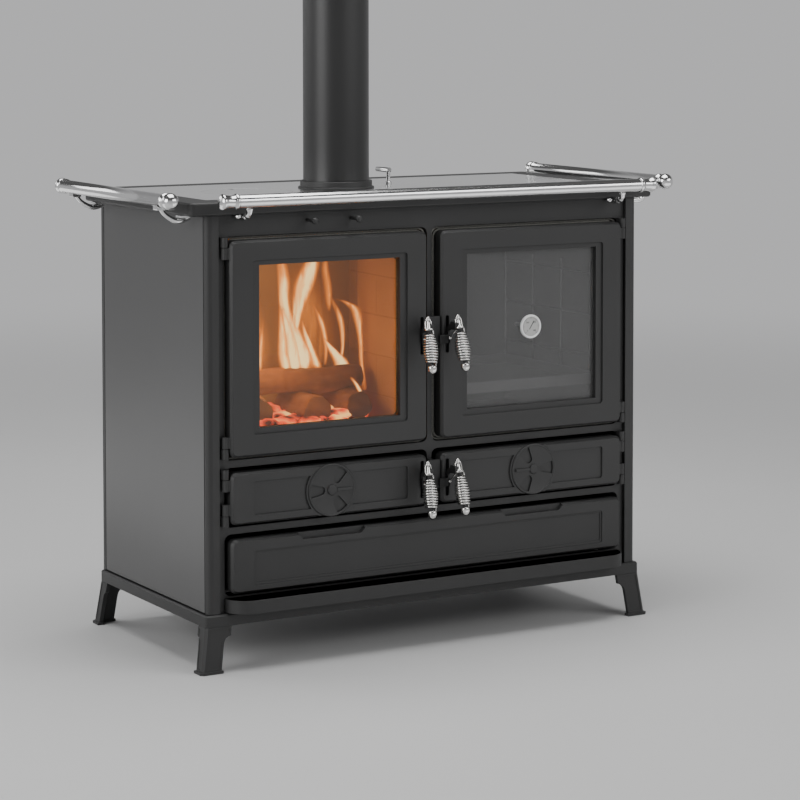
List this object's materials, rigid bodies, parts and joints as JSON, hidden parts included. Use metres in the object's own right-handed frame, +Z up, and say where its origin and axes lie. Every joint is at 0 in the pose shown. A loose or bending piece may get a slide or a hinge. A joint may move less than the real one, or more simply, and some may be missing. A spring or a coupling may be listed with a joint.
{
  "type": "wood cookstove",
  "caption": "Wood-burning kitchen range on splayed cast feet: glazed fire and oven doors with coil grips, ash and soot doors with air registers, wood drawer, hob with flue, towel rails.",
  "frame": {"origin": "on the floor under the middle of the whole stove's bounding box", "axes": "+Z up along the flue, +X to the viewer's right, the doors face -Y"},
  "size_m": [1.128, 0.5854, 1.3763],
  "materials": {
    "air_rod_left": "matt black enamel paint on casting",
    "air_rod_right": "matt black enamel paint on casting",
    "ash_coil": "polished",
    "ash_door": "matt black enamel paint on casting",
    "ash_lever": "polished",
    "ash_pan": "satin black paint",
    "ash_register": "matt black enamel paint on casting",
    "back_panel": "satin black paint",
    "bracket_front_left": "polished",
    "bracket_front_right": "polished",
    "bracket_left_front": "polished",
    "bracket_left_rear": "polished",
    "bracket_right_front": "polished",
    "bracket_right_rear": "polished",
    "damper_flap": "satin black paint",
    "damper_handle": "polished",
    "drawer_box": "satin black paint",
    "drawer_front": "matt black enamel paint on casting",
    "fire_coil": "polished",
    "fire_door": "matt black enamel paint on casting",
    "fire_glass": "clear ceramic glass",
    "fire_grate": "matt black enamel paint on casting",
    "fire_lever": "polished",
    "firebox_shell": "satin black paint",
    "firebrick_lining": "fired clay",
    "flue_collar": "matt black enamel paint on casting",
    "flue_pipe": "satin black paint",
    "front_frame": "matt black enamel paint on casting",
    "front_lip": "matt black enamel paint on casting",
    "hob_frame": "matt black enamel paint on casting",
    "hob_lid": "ground satin",
    "hob_plate": "ground satin",
    "leg_front_left": "matt black enamel paint on casting",
    "leg_front_right": "matt black enamel paint on casting",
    "leg_rear_left": "matt black enamel paint on casting",
    "leg_rear_right": "matt black enamel paint on casting",
    "lower_deck": "satin black paint",
    "oven_box": "grey enamel",
    "oven_coil": "polished",
    "oven_door": "matt black enamel paint on casting",
    "oven_glass": "clear ceramic glass",
    "oven_lever": "polished",
    "oven_rack_left": "polished",
    "oven_rack_right": "polished",
    "oven_shelf": "grey enamel",
    "oven_thermometer": "polished",
    "plinth": "matt black enamel paint on casting",
    "post_front_left": "matt black enamel paint on casting",
    "post_front_right": "matt black enamel paint on casting",
    "post_rear_left": "matt black enamel paint on casting",
    "post_rear_right": "matt black enamel paint on casting",
    "rail_front": "polished",
    "rail_left": "polished",
    "rail_right": "polished",
    "side_panel_left": "satin black paint",
    "side_panel_right": "satin black paint",
    "soot_coil": "polished",
    "soot_door": "matt black enamel paint on casting",
    "soot_lever": "polished",
    "soot_register": "matt black enamel paint on casting"
  },
  "bodies": {
    "stove": {"ash_pan": "ash_pan", "back_panel": "back_panel", "bracket_front_left": "bracket_front_left", "bracket_front_right": "bracket_front_right", "bracket_left_front": "bracket_left_front", "bracket_left_rear": "bracket_left_rear", "bracket_right_front": "bracket_right_front", "bracket_right_rear": "bracket_right_rear", "fire_grate": "fire_grate", "firebox_shell": "firebox_shell", "firebrick_lining": "firebrick_lining", "flue_collar": "flue_collar", "flue_pipe": "flue_pipe", "front_frame": "front_frame", "front_lip": "front_lip", "hob_frame": "hob_frame", "hob_plate": "hob_plate", "leg_front_left": "leg_front_left", "leg_front_right": "leg_front_right", "leg_rear_left": "leg_rear_left", "leg_rear_right": "leg_rear_right", "lower_deck": "lower_deck", "oven_box": "oven_box", "oven_rack_left": "oven_rack_left", "oven_rack_right": "oven_rack_right", "oven_shelf": "oven_shelf", "plinth": "plinth", "post_front_left": "post_front_left", "post_front_right": "post_front_right", "post_rear_left": "post_rear_left", "post_rear_right": "post_rear_right", "rail_front": "rail_front", "rail_left": "rail_left", "rail_right": "rail_right", "side_panel_left": "side_panel_left", "side_panel_right": "side_panel_right"},
    "fire_door": {"fire_door": "fire_door", "fire_glass": "fire_glass"},
    "oven_door": {"oven_door": "oven_door", "oven_glass": "oven_glass", "oven_thermometer": "oven_thermometer"},
    "ash_door": {"ash_door": "ash_door"},
    "soot_door": {"soot_door": "soot_door"},
    "ash_register": {"ash_register": "ash_register"},
    "soot_register": {"soot_register": "soot_register"},
    "fire_catch": {"fire_lever": "fire_lever", "fire_coil": "fire_coil"},
    "oven_catch": {"oven_lever": "oven_lever", "oven_coil": "oven_coil"},
    "ash_catch": {"ash_lever": "ash_lever", "ash_coil": "ash_coil"},
    "soot_catch": {"soot_lever": "soot_lever", "soot_coil": "soot_coil"},
    "wood_drawer": {"drawer_front": "drawer_front", "drawer_box": "drawer_box"},
    "damper": {"damper_handle": "damper_handle", "damper_flap": "damper_flap"},
    "air_rod_left": {"air_rod_left": "air_rod_left"},
    "air_rod_right": {"air_rod_right": "air_rod_right"},
    "hob_lid": {"hob_lid": "hob_lid"}
  },
  "joints": [
    {"name": "fire_door_hinge", "type": "hinge", "parent": "stove", "child": "fire_door", "pos_m": [-0.441, -0.22026, 0.6], "axis": [0, 0, -1], "range_deg": [0, 100]},
    {"name": "oven_door_hinge", "type": "hinge", "parent": "stove", "child": "oven_door", "pos_m": [0.441, -0.22026, 0.6], "axis": [0, 0, 1], "range_deg": [0, 100]},
    {"name": "ash_door_hinge", "type": "hinge", "parent": "stove", "child": "ash_door", "pos_m": [-0.441, -0.22026, 0.32], "axis": [0, 0, -1], "range_deg": [0, 100]},
    {"name": "soot_door_hinge", "type": "hinge", "parent": "stove", "child": "soot_door", "pos_m": [0.441, -0.22026, 0.32], "axis": [0, 0, 1], "range_deg": [0, 100]},
    {"name": "ash_register_turn", "type": "hinge", "parent": "ash_door", "child": "ash_register", "pos_m": [-0.2246, -0.23026, 0.3202], "axis": [0, 1, 0], "range_deg": [0, 60]},
    {"name": "soot_register_turn", "type": "hinge", "parent": "soot_door", "child": "soot_register", "pos_m": [0.2246, -0.23026, 0.3202], "axis": [0, -1, 0], "range_deg": [0, 60]},
    {"name": "fire_catch_pivot", "type": "hinge", "parent": "fire_door", "child": "fire_catch", "pos_m": [-0.028, -0.22626, 0.604], "axis": [-1, 0, 0], "range_deg": [0, 30]},
    {"name": "oven_catch_pivot", "type": "hinge", "parent": "oven_door", "child": "oven_catch", "pos_m": [0.028, -0.22626, 0.604], "axis": [-1, 0, 0], "range_deg": [0, 30]},
    {"name": "ash_catch_pivot", "type": "hinge", "parent": "ash_door", "child": "ash_catch", "pos_m": [-0.028, -0.22626, 0.327], "axis": [-1, 0, 0], "range_deg": [0, 30]},
    {"name": "soot_catch_pivot", "type": "hinge", "parent": "soot_door", "child": "soot_catch", "pos_m": [0.028, -0.22626, 0.327], "axis": [-1, 0, 0], "range_deg": [0, 30]},
    {"name": "wood_drawer_slide", "type": "slide", "parent": "stove", "child": "wood_drawer", "axis": [0, -1, 0], "range_m": [0, 0.3]},
    {"name": "damper_turn", "type": "hinge", "parent": "stove", "child": "damper", "pos_m": [0.06, 0.05474, 0.88], "axis": [0, 0, 1], "range_deg": [0, 90]},
    {"name": "air_rod_left_slide", "type": "slide", "parent": "stove", "child": "air_rod_left", "axis": [0, -1, 0], "range_m": [0, 0.025]},
    {"name": "air_rod_right_slide", "type": "slide", "parent": "stove", "child": "air_rod_right", "axis": [0, -1, 0], "range_m": [0, 0.025]},
    {"name": "hob_lid_lift", "type": "slide", "parent": "stove", "child": "hob_lid", "axis": [0, 0, 1], "range_m": [0, 0.15]}
  ]
}
